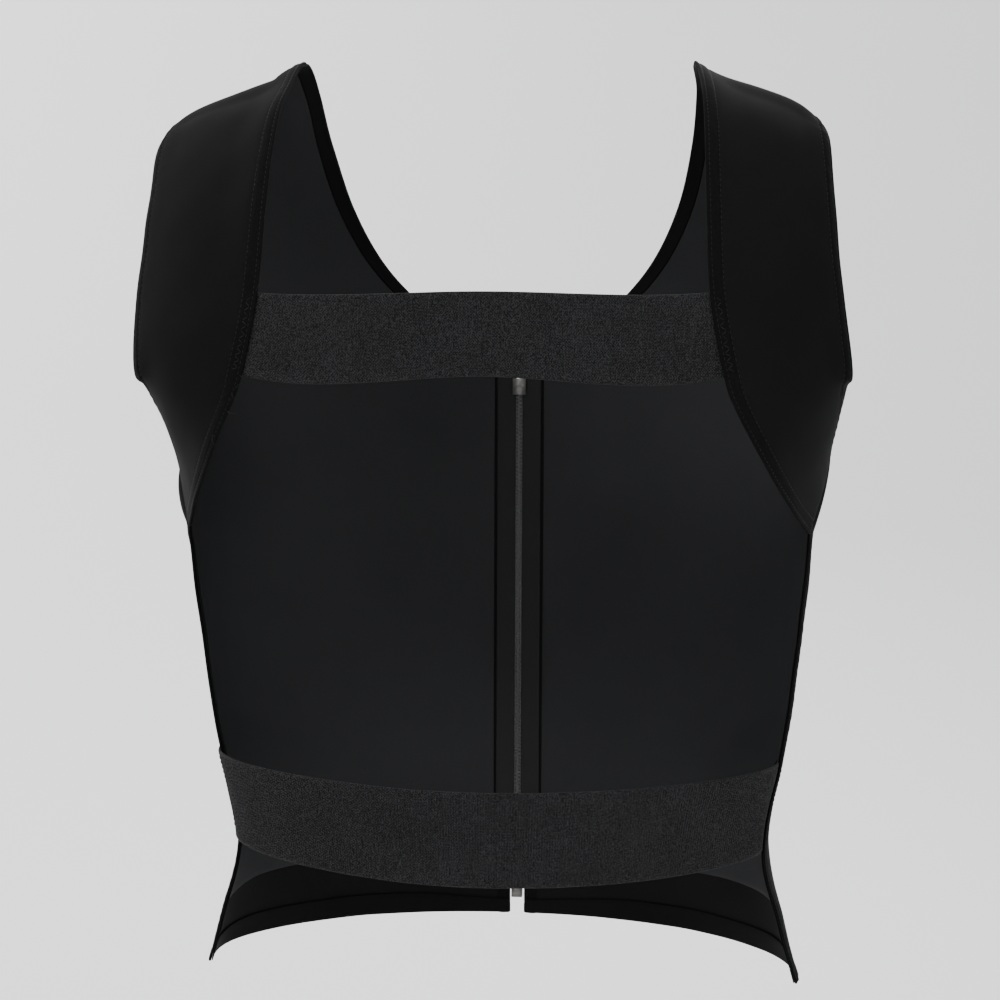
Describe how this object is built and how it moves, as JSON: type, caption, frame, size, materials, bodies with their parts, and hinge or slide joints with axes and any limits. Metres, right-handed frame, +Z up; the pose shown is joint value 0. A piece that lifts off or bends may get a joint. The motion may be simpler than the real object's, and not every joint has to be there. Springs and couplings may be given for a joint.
{
  "type": "open-backed work vest",
  "caption": "Sleeveless black vest with wide shoulder panels, an open back crossed by two elastic bands, and a zip down the front.",
  "frame": {"origin": "midway between the neck-side tops of the two shoulders, where the wearer's shoulders hold the vest up", "axes": "+Z up along the wearer's height, the longest extent; +Y out of the wearer's chest, the shortest extent; +X the wearer's right"},
  "size_m": [0.462, 0.2491, 0.6107],
  "materials": {
    "shell_fabric": "smooth black woven fabric with a faint satin sheen",
    "lining_fabric": "thin charcoal lining fabric, matte",
    "hem_fabric": "turned black shell fabric, stitched",
    "elastic_webbing": "black woven elastic, fine ribs and speckled grain",
    "zip_tape": "black woven tape",
    "zip_teeth": "moulded black plastic teeth",
    "zip_metal": "black enamelled metal, worn along its edges"
  },
  "bodies": {
    "vest": {"back_armhole_facing_left": "hem_fabric", "back_armhole_facing_right": "hem_fabric", "back_lining_left": "lining_fabric", "back_lining_right": "lining_fabric", "back_lower_facing_left": "hem_fabric", "back_lower_facing_right": "hem_fabric", "back_neck_facing_left": "hem_fabric", "back_neck_facing_right": "hem_fabric", "back_shell_left": "shell_fabric", "back_shell_right": "shell_fabric", "bottom_hem_left": "hem_fabric", "bottom_hem_right": "hem_fabric", "front_armhole_facing_left": "hem_fabric", "front_armhole_facing_right": "hem_fabric", "front_lining_left": "lining_fabric", "front_lining_right": "lining_fabric", "front_neck_facing_left": "hem_fabric", "front_neck_facing_right": "hem_fabric", "front_shell_left": "shell_fabric", "front_shell_right": "shell_fabric", "lower_band_patch_left": "hem_fabric", "lower_band_patch_right": "hem_fabric", "lower_elastic_band": "elastic_webbing", "side_facing_lower_left": "hem_fabric", "side_facing_lower_right": "hem_fabric", "side_facing_upper_left": "hem_fabric", "side_facing_upper_right": "hem_fabric", "upper_band_patch_left": "hem_fabric", "upper_band_patch_right": "hem_fabric", "upper_elastic_band": "elastic_webbing", "zip_insertion_pin": "zip_metal", "zip_retainer_box": "zip_metal", "zip_tape_left": "zip_tape", "zip_tape_right": "zip_tape", "zip_teeth_left": "zip_teeth", "zip_teeth_right": "zip_teeth", "zip_top_stop_left": "zip_metal", "zip_top_stop_right": "zip_metal"},
    "slider": {"zip_slider": "zip_metal"},
    "pull_tab": {"zip_pull_tab": "zip_metal"}
  },
  "joints": [
    {"name": "zip_slide", "type": "slide", "parent": "vest", "child": "slider", "axis": [0, -0.0395, -0.9992], "range_m": [0, 0.366]},
    {"name": "pull_tab_swing", "type": "hinge", "parent": "slider", "child": "pull_tab", "pos_m": [0, 0.13042, -0.21902], "axis": [1, 0, 0], "range_deg": [0, 170]}
  ]
}
